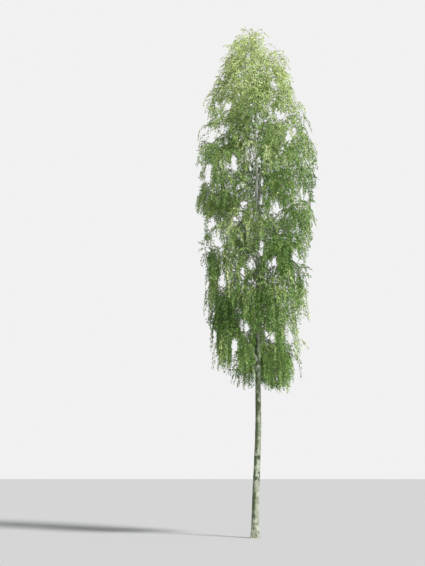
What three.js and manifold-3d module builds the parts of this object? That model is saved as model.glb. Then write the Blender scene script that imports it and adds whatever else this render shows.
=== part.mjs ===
// A weeping birch of about thirty years: one slim white trunk with a root flare, boughs that rise
// steeply and arch over, and masses of thin twigs that hang their leaf sprays round them.
// Millimetres, +Z up. The origin is the middle of the flat cut under the trunk, at ground level,
// and the tree is seen from its front when looking along +Y, with +X to the right.
import * as THREE from "three";
import Module from "manifold-3d";

const { smoothstep, lerp, mapLinear } = THREE.MathUtils;
const wasm = await Module();
wasm.setup();

// Whole tree
const SEED = 29;
const TREE_HEIGHT = 13900;
const CROWN_FOOT = 4050;
const CROWN_PROFILE = [
  // height above the ground, radius of the crown there
  [4050, 900],
  [5000, 1250],
  [6500, 1400],
  [8500, 1520],
  [10300, 1650],
  [12000, 1180],
  [13200, 760],
  [13900, 160],
];
const GOLDEN_ANGLE = Math.PI * (3 - Math.sqrt(5));
const PIECE_GAP = 0.3; // between a limb and what grows on it

// Trunk
const TRUNK_HEIGHT = 12900;
const BREAST_HEIGHT = 1300;
const BREAST_RADIUS = 88;
const VANISHING_HEIGHT = 14100; // where its taper would come to a point
const TAPER_POWER = 0.95;
const FLARE_RADIUS = 46; // what the root flare adds at ground level
const FLARE_HEIGHT = 210; // over which the flare dies away
const ROOT_LOBES = 5;
const ROOT_LOBE_DEPTH = 0.13;
const LEAN = 106; // to the right, reached at the lean height
const LEAN_HEIGHT = 3200;
const TIP_RETURN = 125; // how far the top comes back to the left
const TIP_RETURN_FROM = 10000;
const SWAY = 26; // to and fro, seen from the side
const SWAY_LENGTH = 7400;
const TRUNK_RINGS = 24;
const TRUNK_SIDES = 14;
const TRUNK_RING_POWER = 1.6; // sets the rings closer together near the ground

// Boughs
const BOUGH_COUNT = 24;
const LOWEST_BOUGH = 4150;
const HIGHEST_BOUGH = 12300;
const FIRST_AZIMUTH = 1.4;
const AZIMUTH_JITTER = 0.5;
const BOUGH_REACH = 0.43; // of the crown's radius
const REACH_JITTER = 0.16;
const LOW_RISE = 1.0; // height gained for each unit of reach, at the foot of the crown
const HIGH_RISE = 1.75; // and at its top
const ARCH = { out: 0.36, up: 0.62 }; // where the curve's middle point pulls an arching bough
const BOUGH_SHARE = 0.44; // of the trunk's radius where it leaves the trunk
const BOUGH_TIP_RADIUS = 10;
const BOUGH_STEPS = 4;
const BOUGH_SIDES = 6;

// One bough leaves the trunk at mid height and rises beside it like a second stem
const STEEP_BOUGH = {
  foot: 7800,
  azimuth: 3.3,
  reach: 340,
  rise: 2450,
  pull: { out: 0.9, up: 0.3 },
};

// Masses of foliage
const INNER_MASSES = 7;
const LOWEST_INNER = 4900;
const HIGHEST_INNER = 11900;
const FIRST_INNER_AZIMUTH = 1.0;
const INNER_STEM_LENGTH = 260;
const INNER_CENTRE = { out: 120, up: 250 }; // the middle of such a mass, from its stem's foot
const TOP_STEM_LENGTH = 420;
const STEM_REACH = 0.32; // of the crown's radius at the bough's tip
const SHORTEST_STEM = 200;
const STEM_STEPS = 3;
const LOW_SAG = 0.34; // how much more a stem turns down at each step, at the crown's foot
const HIGH_SAG = 0.1; // and at its top
const LOW_HANG = 2.4; // how far a spray's heading is pulled down, at the crown's foot
const HIGH_HANG = 0.7; // and at its top
const CENTRE_REACH = 0.95; // of the stem's length, from its foot to the middle of its mass
const CENTRE_DROP = 330; // how far the middle of a low mass lies under its stem
const SPACE_GAP = 12; // kept between the spaces of two masses
const LIMB_CLEARANCE = 4; // kept between a shoot and any limb

// Shoots: three-sided twigs that each open into one leaf spray. Radii reach to the corners.
const SHOOT_SIDES = 3;
const STEM_RADIUS = 16;
const STEM_TIP_RADIUS = 12;
const TWIG_RADIUS = 8;
const TWIG_TIP_RADIUS = 7;
const STALK_RADIUS = 4;
const TWIGS = 5; // on one stem
const FIRST_TWIG = 0.15; // of the stem's length
const TWIG_LENGTH = 440;
const SHORTER_TWIG = 0.75; // of that length
const LONGER_TWIG = 1.25;
const TWIG_SPREAD = 0.95; // angle between a twig and its stem
const TWIG_STEPS = 2;
const SIDE_SPRAYS = 3; // on one twig or stem
const SIDE_SPREAD = 0.95;
const OUTER_SPRAY = 0.9; // of the twig's length, where its first side spray hangs
const INNER_SPRAY = 0.4; // and its last
const MOST_SPRAYS = 14; // in one mass
const SPRAY_LENGTH = 780;
const SPRAY_WIDTH = 0.46; // of its length
const SPRAY_THICKNESS = 0.02; // of its length
const SPRAY_MIDDLE = 0.45; // of its length, where it is widest
const SMALLER_TRIES = [1, 0.88, 0.76, 0.64, 0.54, 0.45]; // sizes tried in turn where space is short
const MELD = 0.6; // corners nearer than this are joined after fusing

const COLOURS = {
  trunk: 0xcfd0c0,
  bough: 0x8d8878,
  inner: 0x56743a,
  outer: 0x7c9a54,
  top: 0xa9bf78,
};

// Numbers from 0 to 1 that are the same on each run.
function seeded(seed) {
  let state = seed * 7919 + 13;
  const next = () => {
    state = (state * 1664525 + 1013904223) % 4294967296;
    return state / 4294967296;
  };
  next();
  return next;
}

const up = new THREE.Vector3(0, 0, 1);

function around(azimuth) {
  return new THREE.Vector3(Math.cos(azimuth), Math.sin(azimuth), 0);
}

// A closed solid from corner points and triangles that face out.
function solidFrom(points, triangles) {
  return new wasm.Manifold(
    new wasm.Mesh({
      numProp: 3,
      vertProperties: new Float32Array(points.flatMap((point) => point.toArray())),
      triVerts: new Uint32Array(triangles.flat()),
    }),
  );
}

// A closed solid through a stack of rings with as many corners each. Its foot is flat, and its far
// end is flat too, or comes to the point given.
function loft(rings, point) {
  const sides = rings[0].length;
  const last = (rings.length - 1) * sides;
  const triangles = [];
  for (let ring = 0; ring < last; ring += sides) {
    for (let side = 0; side < sides; side++) {
      const a = ring + side;
      const b = ring + ((side + 1) % sides);
      triangles.push([a, b, b + sides], [a, b + sides, a + sides]);
    }
  }
  for (let side = 1; side < sides - 1; side++) {
    triangles.push([0, side + 1, side]);
    if (!point) triangles.push([last, last + side, last + side + 1]);
  }
  if (!point) return solidFrom(rings.flat(), triangles);
  for (let side = 0; side < sides; side++) {
    triangles.push([last + side, last + ((side + 1) % sides), last + sides]);
  }
  return solidFrom([...rings.flat(), point], triangles);
}

function trunkCentre(height) {
  const lean = LEAN * smoothstep(height, 0, LEAN_HEIGHT);
  const back = TIP_RETURN * smoothstep(height, TIP_RETURN_FROM, TREE_HEIGHT);
  const sway = SWAY * Math.sin((2 * Math.PI * height) / SWAY_LENGTH);
  return new THREE.Vector3(lean - back, sway, height);
}

function trunkRadius(height) {
  const left = (VANISHING_HEIGHT - height) / (VANISHING_HEIGHT - BREAST_HEIGHT);
  return BREAST_RADIUS * left ** TAPER_POWER + FLARE_RADIUS * Math.exp(-height / FLARE_HEIGHT);
}

// The whole stem in level rings, lobed at the foot where the roots spread.
function trunkSolid(grown = 0) {
  const rings = [];
  for (let ring = 0; ring <= TRUNK_RINGS; ring++) {
    const height = TRUNK_HEIGHT * (ring / TRUNK_RINGS) ** TRUNK_RING_POWER;
    const centre = trunkCentre(height);
    const lobes = ROOT_LOBE_DEPTH * Math.exp(-height / FLARE_HEIGHT);
    const points = [];
    for (let side = 0; side < TRUNK_SIDES; side++) {
      const azimuth = (2 * Math.PI * side) / TRUNK_SIDES;
      const radius = trunkRadius(height) * (1 + lobes * Math.cos(ROOT_LOBES * azimuth));
      points.push(centre.clone().addScaledVector(around(azimuth), radius + grown));
    }
    rings.push(points);
  }
  return loft(rings);
}

// Rings square to a path, one at each of its points. A size is a ring's radius, or its half width
// and half thickness, and the width lies along the facing direction.
function ringsAlong(path, sizes, sides, facing) {
  const last = path.length - 1;
  const side = facing.clone();
  return path.map((point, k) => {
    const along = path[Math.min(k + 1, last)].clone().sub(path[Math.max(k - 1, 0)]).normalize();
    side.addScaledVector(along, -side.dot(along)).normalize();
    const across = along.clone().cross(side);
    const [wide, thick = wide] = [sizes[k]].flat();
    const ring = [];
    for (let corner = 0; corner < sides; corner++) {
      const turn = Math.PI / 2 + (2 * Math.PI * corner) / sides;
      const offset = side.clone().multiplyScalar(wide * Math.cos(turn));
      ring.push(offset.addScaledVector(across, thick * Math.sin(turn)).add(point));
    }
    return ring;
  });
}

// The path of a shoot: it sets off along its heading and turns down a little more at each step.
function growPath(start, heading, length, steps, sag) {
  const path = [start.clone()];
  const direction = heading.clone().normalize();
  for (let step = 0; step < steps; step++) {
    path.push(path[step].clone().addScaledVector(direction, length / steps));
    direction.z -= sag;
    direction.normalize();
  }
  return path;
}

// The point at a share of a path's length, and the way the path runs there.
function alongPath(path, share) {
  const at = share * (path.length - 1);
  const k = Math.min(Math.floor(at), path.length - 2);
  const point = path[k].clone().lerp(path[k + 1], at - k);
  return { point, along: path[k + 1].clone().sub(path[k]).normalize() };
}

function crownRadius(height) {
  const next = CROWN_PROFILE.findIndex(([level]) => level > height);
  if (next <= 0) return CROWN_PROFILE.at(next)[1];
  const [low, lowRadius] = CROWN_PROFILE[next - 1];
  const [high, highRadius] = CROWN_PROFILE[next];
  return mapLinear(height, low, high, lowRadius, highRadius);
}

function boughPath({ foot, azimuth, reach, rise, pull }) {
  const start = trunkCentre(foot);
  const out = around(azimuth);
  const pulled = start.clone().addScaledVector(out, pull.out * reach).addScaledVector(up, pull.up * rise);
  const tip = start.clone().addScaledVector(out, reach).addScaledVector(up, rise);
  return new THREE.QuadraticBezierCurve3(start, pulled, tip).getPoints(BOUGH_STEPS);
}

// Boughs follow one another up the trunk by the golden angle, steeper towards the top.
function boughPlan(index) {
  const random = seeded(SEED + index);
  const share = index / (BOUGH_COUNT - 1);
  const foot = lerp(LOWEST_BOUGH, HIGHEST_BOUGH, share);
  const azimuth = FIRST_AZIMUTH + index * GOLDEN_ANGLE + (random() - 0.5) * AZIMUTH_JITTER;
  const riseShare = lerp(LOW_RISE, HIGH_RISE, share);
  const guess = crownRadius(foot + riseShare * BOUGH_REACH * crownRadius(foot));
  const reach = guess * (BOUGH_REACH + (random() - 0.5) * REACH_JITTER);
  return { foot, azimuth, reach, rise: reach * riseShare, pull: ARCH };
}

function makeBough(name, plan) {
  const path = boughPath(plan);
  const footRadius = Math.max(BOUGH_SHARE * trunkRadius(plan.foot), BOUGH_TIP_RADIUS);
  const limb = (grown) => {
    const radii = path.map((_, k) => grown + lerp(footRadius, BOUGH_TIP_RADIUS, k / BOUGH_STEPS));
    return loft(ringsAlong(path, radii, BOUGH_SIDES, around(plan.azimuth + Math.PI / 2)));
  };
  return { name, path, solid: limb(0), clearance: limb(LIMB_CLEARANCE) };
}

// A shoot: a twig along its path that opens at its end, along the heading, into one leaf spray,
// a flat pointed blade. Its corners past the foot are kept for the test of space.
function makeShoot(path, heading, radii, facing, sprayLength) {
  const end = path.at(-1);
  const middle = end.clone().addScaledVector(heading, SPRAY_MIDDLE * sprayLength);
  const point = end.clone().addScaledVector(heading, sprayLength);
  const halfWidth = (SPRAY_WIDTH * sprayLength) / Math.sqrt(3);
  const halfThickness = (SPRAY_THICKNESS * sprayLength) / 1.5;
  const rings = ringsAlong(
    [...path, middle],
    [...radii, [halfWidth, halfThickness]],
    SHOOT_SIDES,
    facing,
  );
  return { path, solid: loft(rings, point), corners: [...rings.slice(1).flat(), point] };
}

// A shoot grown from its start, smaller as a whole where its size is under 1.
function makeTwig({ start, heading, length, steps, sag, radii: [foot, tip], facing }, size) {
  const path = growPath(start, heading, size * length, steps, sag);
  const radii = path.map((_, k) => lerp(foot, tip, k / steps));
  const { along } = alongPath(path, 1);
  along.z -= sag;
  return makeShoot(path, along.normalize(), radii, facing, size * SPRAY_LENGTH);
}

// True where every point lies inside the crown and nearer to this mass's middle than to any other.
function insideSpace(points, centre, otherCentres) {
  const inCrown = points.every((point) => {
    const axis = trunkCentre(point.z);
    const out = Math.hypot(point.x - axis.x, point.y - axis.y);
    return point.z > CROWN_FOOT && point.z <= TREE_HEIGHT && out < crownRadius(point.z);
  });
  if (!inCrown) return false;
  return otherCentres.every((other) => {
    const away = other.clone().sub(centre);
    const wall = away.length() / 2 - SPACE_GAP / 2;
    away.normalize();
    return points.every((point) => point.clone().sub(centre).dot(away) < wall);
  });
}

// Turns a direction away from the way a path runs, by an angle, on a chosen side of it.
function branchHeading(along, turn, spread) {
  const side = new THREE.Vector3().crossVectors(along, Math.abs(along.z) > 0.9 ? around(0) : up);
  side.normalize().applyAxisAngle(along, turn);
  return along.clone().multiplyScalar(Math.cos(spread)).addScaledVector(side, Math.sin(spread));
}

// One mass: a stem, twigs round it by the golden angle, and side sprays on them all. Each is made
// in the largest size that keeps to the mass's space and clear of the limbs and of the other
// shoots, and is skipped where none does.
function growMass(plan, otherCentres, limbs, trunkClear) {
  const random = seeded(plan.seed);
  const shoots = [];
  const addShoot = (parent, make) => {
    for (const size of SMALLER_TRIES) {
      const shoot = make(size);
      const clear =
        insideSpace(shoot.corners, plan.centre, otherCentres) &&
        (!parent || shoot.solid.intersect(limbs).isEmpty()) &&
        shoots.every((other) => other === parent || other.solid.intersect(shoot.solid).isEmpty());
      if (clear) {
        shoots.push(shoot);
        return;
      }
    }
  };
  const facing = () => around(2 * Math.PI * random());

  const { start, heading, length, sag } = plan;
  const stemRadii = [STEM_RADIUS, STEM_TIP_RADIUS];
  const stemPlan = { start, heading, length, steps: STEM_STEPS, sag, radii: stemRadii, facing: facing() };
  addShoot(null, (size) => makeTwig(stemPlan, size));
  const stem = shoots[0];
  if (!stem) throw new Error(`no room for the stem of mass ${plan.seed}`);
  for (let k = 0; k < TWIGS; k++) {
    const { point, along } = alongPath(stem.path, lerp(FIRST_TWIG, 1, k / TWIGS));
    const twigPlan = {
      start: point,
      heading: branchHeading(along, k * GOLDEN_ANGLE + random(), TWIG_SPREAD),
      length: TWIG_LENGTH * lerp(SHORTER_TWIG, LONGER_TWIG, random()),
      steps: TWIG_STEPS,
      sag,
      radii: [TWIG_RADIUS, TWIG_TIP_RADIUS],
      facing: facing(),
    };
    addShoot(stem, (size) => makeTwig(twigPlan, size));
  }
  const carriers = [...shoots];
  for (let k = 0; k < SIDE_SPRAYS; k++) {
    carriers.forEach((carrier, c) => {
      if (shoots.length >= MOST_SPRAYS) return;
      const share = lerp(OUTER_SPRAY, INNER_SPRAY, k / (SIDE_SPRAYS - 1));
      const { point, along } = alongPath(carrier.path, share);
      const side = branchHeading(along, (c + k) * GOLDEN_ANGLE + 2 * random(), SIDE_SPREAD);
      side.z -= plan.hang * random();
      side.normalize();
      const across = facing();
      addShoot(carrier, (size) =>
        makeShoot([point], side, [STALK_RADIUS], across, size * SPRAY_LENGTH),
      );
    });
  }
  const fused = shoots.reduce((all, shoot) => all.add(shoot.solid), shoots[0].solid);
  const bodies = fused.subtract(trunkClear).simplify(MELD).decompose();
  bodies.sort((a, b) => b.volume() - a.volume());
  return bodies[0];
}

// The mass that carries on from a bough's tip, along the way the bough runs there.
function tipMassPlan(bough, seed) {
  const { point: tip, along: heading } = alongPath(bough.path, 1);
  const share = mapLinear(tip.z, CROWN_FOOT, TREE_HEIGHT, 0, 1);
  const length = Math.max(STEM_REACH * crownRadius(tip.z), SHORTEST_STEM);
  return {
    seed,
    start: tip.clone().addScaledVector(heading, PIECE_GAP),
    heading,
    length,
    sag: lerp(LOW_SAG, HIGH_SAG, share),
    hang: lerp(LOW_HANG, HIGH_HANG, share),
    centre: tip
      .clone()
      .addScaledVector(heading, CENTRE_REACH * length)
      .addScaledVector(up, -CENTRE_DROP * (1 - share)),
  };
}

// A small mass on a short stem that leaves the trunk between the boughs.
function innerMassPlan(index, seed) {
  const height = lerp(LOWEST_INNER, HIGHEST_INNER, index / (INNER_MASSES - 1));
  const azimuth = FIRST_INNER_AZIMUTH + index * GOLDEN_ANGLE;
  const start = trunkCentre(height);
  const share = mapLinear(height, CROWN_FOOT, TREE_HEIGHT, 0, 1);
  return {
    seed,
    start,
    heading: around(azimuth).add(up).normalize(),
    length: INNER_STEM_LENGTH,
    sag: HIGH_SAG,
    hang: lerp(LOW_HANG, HIGH_HANG, share),
    centre: start
      .clone()
      .addScaledVector(around(azimuth), INNER_CENTRE.out)
      .addScaledVector(up, INNER_CENTRE.up),
  };
}

// The leading shoots above the trunk's tip.
function topMassPlan(seed) {
  const start = trunkCentre(TRUNK_HEIGHT).addScaledVector(up, PIECE_GAP);
  return {
    seed,
    start,
    heading: up.clone(),
    length: TOP_STEM_LENGTH,
    sag: 0,
    hang: 0,
    centre: start.clone().addScaledVector(up, TOP_STEM_LENGTH / 2),
  };
}

// A named mesh in its own colour.
function meshFrom(name, solid, colour, roughness) {
  const { numProp, vertProperties, triVerts } = solid.getMesh();
  const geometry = new THREE.BufferGeometry();
  geometry.setAttribute("position", new THREE.BufferAttribute(vertProperties, numProp));
  geometry.setIndex(new THREE.BufferAttribute(triVerts, 1));
  geometry.computeVertexNormals();
  const material = new THREE.MeshStandardMaterial({ color: colour, roughness, metalness: 0 });
  const mesh = new THREE.Mesh(geometry, material);
  mesh.name = name;
  return mesh;
}

const twoDigits = (number) => String(number).padStart(2, "0");

const trunk = trunkSolid();
const trunkClear = trunkSolid(PIECE_GAP + 0.05);
const boughs = [];
for (let k = 0; k < BOUGH_COUNT; k++) {
  boughs.push(makeBough("bough_" + twoDigits(k + 1), boughPlan(k)));
}
boughs.push(makeBough("steep_bough", STEEP_BOUGH));
const limbs = boughs.reduce((all, bough) => all.add(bough.clearance), trunkSolid(LIMB_CLEARANCE));

const masses = boughs.map((bough, k) => ({
  name: bough.name.replace("bough", "foliage"),
  colour: COLOURS.outer,
  plan: tipMassPlan(bough, SEED + 100 + k),
}));
for (let k = 0; k < INNER_MASSES; k++) {
  masses.push({
    name: "inner_foliage_" + twoDigits(k + 1),
    colour: COLOURS.inner,
    plan: innerMassPlan(k, SEED + 200 + k),
  });
}
masses.push({ name: "top_foliage", colour: COLOURS.top, plan: topMassPlan(SEED + 300) });

const tree = new THREE.Group();
tree.add(meshFrom("trunk", trunk, COLOURS.trunk, 0.8));
for (const bough of boughs) {
  tree.add(meshFrom(bough.name, bough.solid.subtract(trunkClear), COLOURS.bough, 0.85));
}
for (const { name, colour, plan } of masses) {
  const others = masses.filter((mass) => mass.plan !== plan).map((mass) => mass.plan.centre);
  tree.add(meshFrom(name, growMass(plan, others, limbs, trunkClear), colour, 0.9));
}

export default tree;
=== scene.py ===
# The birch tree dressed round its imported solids: bark with relief on the trunk and boughs, and
# branches, hanging shoots and leaves grown on from them by the rule of the part's source.
# Metres, +Z up. The front is seen when looking along +Y, with +X to the right.
import math
from functools import cache
import bpy
import numpy as np
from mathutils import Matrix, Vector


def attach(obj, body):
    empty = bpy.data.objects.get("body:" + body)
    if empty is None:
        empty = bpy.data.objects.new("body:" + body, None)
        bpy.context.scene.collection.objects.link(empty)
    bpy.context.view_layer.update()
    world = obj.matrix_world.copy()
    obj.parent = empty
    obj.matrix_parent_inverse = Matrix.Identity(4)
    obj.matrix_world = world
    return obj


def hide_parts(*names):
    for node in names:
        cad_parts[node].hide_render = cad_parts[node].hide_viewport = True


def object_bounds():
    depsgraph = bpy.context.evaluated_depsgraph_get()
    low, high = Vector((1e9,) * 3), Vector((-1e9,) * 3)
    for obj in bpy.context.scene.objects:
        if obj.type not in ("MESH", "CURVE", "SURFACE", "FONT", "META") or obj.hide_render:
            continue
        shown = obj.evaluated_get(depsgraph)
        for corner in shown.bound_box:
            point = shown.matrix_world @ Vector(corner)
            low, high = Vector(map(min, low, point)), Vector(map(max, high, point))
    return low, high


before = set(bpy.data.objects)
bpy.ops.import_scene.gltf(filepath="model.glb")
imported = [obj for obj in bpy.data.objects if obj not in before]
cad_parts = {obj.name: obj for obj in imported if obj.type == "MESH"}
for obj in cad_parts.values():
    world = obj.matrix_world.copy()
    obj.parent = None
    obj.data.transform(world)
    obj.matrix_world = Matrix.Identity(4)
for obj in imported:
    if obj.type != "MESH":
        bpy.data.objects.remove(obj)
cad_low, cad_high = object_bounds()


# Trunk: the whole white stem, from its flat cut through a lobed root flare to its thin top in the
# crown. Its bark is a papery skin that peels in level strips, with dark scars where boughs leave it
# or were shed, and a dark, fissured foot.
SEED = 29
TREE_HEIGHT = 13.9
TRUNK_HEIGHT = 12.9
BREAST_HEIGHT = 1.3
BREAST_RADIUS = 0.088
VANISHING_HEIGHT = 14.1
TAPER_POWER = 0.95
FLARE_RADIUS = 0.046
FLARE_HEIGHT = 0.21
ROOT_LOBES = 5
ROOT_LOBE_DEPTH = 0.13
LEAN = 0.106
LEAN_HEIGHT = 3.2
TIP_RETURN = 0.125
TIP_RETURN_FROM = 10.0
SWAY = 0.026
SWAY_LENGTH = 7.4
TRUNK_SIDES = 56
BARE_HEIGHT = 4.0  # up to which the bark is seen whole and its rings are close
CLOSE_RING = 0.008
FAR_RING = 0.025
SWELL = (3, 0.35, 0.0035)  # cells round the stem, their height, and the depth of the relief
STRIPS = (5, 0.045, 0.0009)
STRIP_EDGE = 3  # times as steep as the noise they are cut from
WRINKLES = (24, 0.02, 0.0005)
DIAMONDS = 26  # fissures at the foot of the stem, thickest near the ground
DIAMOND_FOOT = 0.9  # their greatest height
DIAMOND_CROWDING = 1.8  # power by which they crowd lower down
DIAMOND_WIDE, DIAMOND_TALL = 0.022, 0.085  # half sizes
LOW_DIAMOND, HIGH_DIAMOND = 1.25, 0.5  # of those sizes
DIAMOND_SIZES = (0.6, 1.2)
DIAMOND_SCATTER = 0.8
RAGGED_CRACKS = (40, 0.018)
CRACK_FRAY = 0.3
CRACK_START, CRACK_FULL = 0.08, 0.5
DIAMOND_DEPTH = 0.006
DIAMOND_DARKNESS = 0.75
SHED_SCARS = 15  # left on the bare stem by boughs it has lost
LOWEST_SHED, HIGHEST_SHED = 0.55, 4.0
SHED_SCATTER = 0.7
SHED_SIZES = (0.6, 1.3)
SCAR_WIDTH, LEAST_SCAR_WIDTH = 0.045, 0.02
FULL_SCAR_RADIUS = 0.03  # of a bough whose scar just has the full width
SCAR_SOLID = 0.6  # of the width, from where it fades
SCAR_SLOPE = 0.55
SCAR_THICKNESS = 0.011
SCAR_RISE = 0.035  # from a bough's foot up to its eyebrow scar
SCAR_LIP = 0.004  # by which the edge of a scar or a mossy band stands out
DARK_BANDS = [(1.56, 0.14), (2.04, 0.055)]  # height and half height of two rough, mossy lengths of bark
BAND_EDGES = [(5, 0.1, 7), (17, 0.03, 6)]  # cells and seed of the noises that move a band's edge
BAND_WANDER = 0.5  # of the half height
BAND_CORE, BAND_END = 0.3, 1.2  # of the half height, where a band starts to fade and where it ends
MOSS_PATCHES = [(7, 0.05, 8), (22, 0.016, 9)]
MOSS_MEAN, MOSS_PATCHINESS = 0.35, 0.3
WHOLE_TURN = 2 * math.pi
GOLDEN_ANGLE = math.pi * (3 - math.sqrt(5))


def seeded(seed):
    state = seed * 7919 + 13

    def draw():
        nonlocal state
        state = (state * 1664525 + 1013904223) % 4294967296
        return state / 4294967296

    draw()
    return draw


def lerp(low, high, share):
    return low + (high - low) * share


def smoothstep(value, low, high):
    share = np.clip((value - low) / (high - low), 0, 1)
    return share * share * (3 - 2 * share)


def trunk_centre(height):
    height = np.asarray(height, float)
    lean = LEAN * smoothstep(height, 0, LEAN_HEIGHT)
    back = TIP_RETURN * smoothstep(height, TIP_RETURN_FROM, TREE_HEIGHT)
    sway = SWAY * np.sin(WHOLE_TURN * height / SWAY_LENGTH)
    return np.stack([lean - back, sway, height], axis=-1)


def trunk_radius(height):
    left = (VANISHING_HEIGHT - height) / (VANISHING_HEIGHT - BREAST_HEIGHT)
    return BREAST_RADIUS * left**TAPER_POWER + FLARE_RADIUS * np.exp(-height / FLARE_HEIGHT)


@cache
def noise_values(cells_round, cell_height, seed):
    levels = int(TREE_HEIGHT / cell_height) + 2
    return np.random.default_rng(seed).uniform(-1, 1, (levels, cells_round))


# Smooth noise from -1 to 1 over bark: so many cells round the stem, each so tall.
def bark_noise(turn, height, cells_round, cell_height, seed):
    values = noise_values(cells_round, cell_height, seed)
    round_at, up_at = np.mod(turn, 1) * cells_round, height / cell_height
    left, low = np.floor(round_at).astype(int), np.floor(up_at).astype(int)
    across, up = smoothstep(round_at - left, 0, 1), smoothstep(up_at - low, 0, 1)
    left, right = left % cells_round, (left + 1) % cells_round
    bottom = lerp(values[low, left], values[low, right], across)
    top = lerp(values[low + 1, left], values[low + 1, right], across)
    return lerp(bottom, top, up)


# How far round the bark a place lies from a bearing.
def across_bark(turn, radius, azimuth):
    return (np.mod(turn - azimuth / WHOLE_TURN + 0.5, 1) - 0.5) * WHOLE_TURN * radius


# Where an eyebrow scar darkens the bark: two level-ended strokes that fall away from its middle.
def eyebrow(turn, height, radius, azimuth, level, width):
    across = across_bark(turn, radius, azimuth)
    off = (height - level + SCAR_SLOPE * np.abs(across)) / SCAR_THICKNESS
    return np.exp(-(off**2)) * (1 - smoothstep(np.abs(across), SCAR_SOLID * width, width))


# Where an upright diamond of cracked bark lies: 1 in its middle, 0 from its edge on.
def diamond(turn, height, radius, azimuth, level, wide, tall):
    across = across_bark(turn, radius, azimuth)
    return np.clip(1 - np.abs(across) / wide - np.abs(height - level) / tall, 0, 1)


def placed(name, data):
    made = bpy.data.objects.new(name, data)
    bpy.context.scene.collection.objects.link(made)
    return made


def mesh_object(name, points, faces):
    mesh = bpy.data.meshes.new(name)
    mesh.from_pydata([tuple(point) for point in points], [], faces)
    mesh.shade_smooth()
    return placed(name, mesh)


def store(mesh, name, values):
    data = mesh.attributes.new(name, "FLOAT", "POINT").data
    data.foreach_set("value", np.ravel(values).astype(np.float32))


# Faces of a tube of rings that lie one after another, with its two ends closed.
def tube_faces(rings, sides, first=0):
    faces = [tuple(range(first + sides - 1, first - 1, -1))]
    for ring in range(rings - 1):
        low = first + ring * sides
        for side in range(sides):
            beside = (side + 1) % sides
            faces.append((low + side, low + beside, low + sides + beside, low + sides + side))
    last = first + (rings - 1) * sides
    faces.append(tuple(range(last, last + sides)))
    return faces


def add_node(tree, kind, inputs=(), **settings):
    made = tree.nodes.new(kind)
    for setting, value in settings.items():
        setattr(made, setting, value)
    for socket, value in dict(inputs).items():
        if isinstance(value, bpy.types.NodeSocket):
            tree.links.new(value, made.inputs[socket])
        else:
            made.inputs[socket].default_value = value
    return made


def new_tree(name, kind, inputs, outputs):
    tree = bpy.data.node_groups.new(name, kind)
    for way, sockets in (("INPUT", inputs), ("OUTPUT", outputs)):
        for label, socket in sockets.items():
            tree.interface.new_socket(label, in_out=way, socket_type="NodeSocket" + socket)
    return tree, tree.nodes.new("NodeGroupInput").outputs, tree.nodes.new("NodeGroupOutput").inputs


# Noise from 0 to 1 in patches so many metres across and tall.
def level_grain(tree, place, across, tall, detail=2.0):
    scale = (1 / across, 1 / across, 1 / tall)
    stretched = add_node(tree, "ShaderNodeVectorMath", {0: place, 1: scale}, operation="MULTIPLY")
    noise = {"Vector": stretched.outputs[0], "Scale": 1.0, "Detail": detail}
    return add_node(tree, "ShaderNodeTexNoise", noise).outputs[0]


def masked(tree, value, low, high):
    settings = {"Value": value, "From Min": low, "From Max": high}
    return add_node(tree, "ShaderNodeMapRange", settings, interpolation_type="SMOOTHSTEP").outputs[0]


def mixed(tree, share, low, high):
    colours = {0: share}
    for socket, colour in ((6, low), (7, high)):
        colours[socket] = colour if isinstance(colour, bpy.types.NodeSocket) else (*colour, 1)
    return add_node(tree, "ShaderNodeMix", colours, data_type="RGBA").outputs[2]


def calculated(tree, operation, first, second=0.0):
    return add_node(tree, "ShaderNodeMath", {0: first, 1: second}, operation=operation).outputs[0]


# Birch bark, for the trunk and the boughs: chalky cream with buff and grey patches, dark level
# dashes where it breathes and a green film low down that also carries painted shade, white in the
# crown, which also carries painted light, and brown on thin wood.
bark_tree, given, bark_out = new_tree(
    "birch_bark",
    "ShaderNodeTree",
    {"Place": "Vector", "Scar": "Float", "Thinness": "Float", "Film": "Float", "Fresh_and_lit": "Float"},
    {"Colour": "Color", "Roughness": "Float", "Height": "Float"},
)
BARK_PATTERNS = {
    # width and height of a patch, detail, and the noise at which it begins and is full
    "chalk": (0.12, 0.09, 4.0, 0.38, 0.62),
    "buff": (0.16, 0.022, 3.0, 0.56, 0.72),
    "grey": (0.22, 0.16, 4.0, 0.5, 0.74),
    "film": (0.09, 0.16, 5.0, 0.3, 0.62),
    "dash": (0.035, 0.0045, 1.0, 0.66, 0.7),
    "smudge": (0.1, 0.014, 3.0, 0.67, 0.74),
    "scar edge": (0.012, 0.012, 3.0, 0.35, 0.65),
}
RIPPLE = (0.03, 0.003, 4.0)  # width, height and detail of the skin's level ripples
PATCH_STRENGTH = 0.6  # of the buff and the grey
DASH_STRENGTH = 0.85
SCAR_SPREAD = 0.55  # by which a scar's dark reaches past its ragged edge
SCAR_START, SCAR_FULL = 0.25, 0.8
SKIN_ROUGHNESS, CRACK_ROUGHNESS = 0.6, 0.3
BARK_SHINE, BARK_RELIEF = 0.3, 0.7
SCAR_SINK = 2.0  # times as deep as a dash is high
CREAM = (0.46, 0.50, 0.36)
CHALK = (0.69, 0.73, 0.60)
FRESH_LIT_WHITE = (0.86, 0.87, 0.80)
BUFF = (0.42, 0.35, 0.24)
GREY_BARK = (0.22, 0.22, 0.18)
FILM_AND_SHADE_GREEN = (0.11, 0.155, 0.065)
CRACK_BROWN = (0.045, 0.035, 0.03)
TWIG_BROWN = (0.13, 0.085, 0.065)
share = {}
for pattern, (across, tall, detail, begins, full) in BARK_PATTERNS.items():
    grain = level_grain(bark_tree, given["Place"], across, tall, detail)
    share[pattern] = masked(bark_tree, grain, begins, full)
scar_share = calculated(bark_tree, "ADD", share["scar edge"], SCAR_SPREAD)
scar_share = calculated(bark_tree, "MULTIPLY", given["Scar"], scar_share)
scar_share = masked(bark_tree, scar_share, SCAR_START, SCAR_FULL)
dark_share = calculated(bark_tree, "MAXIMUM", share["dash"], share["smudge"])
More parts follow.
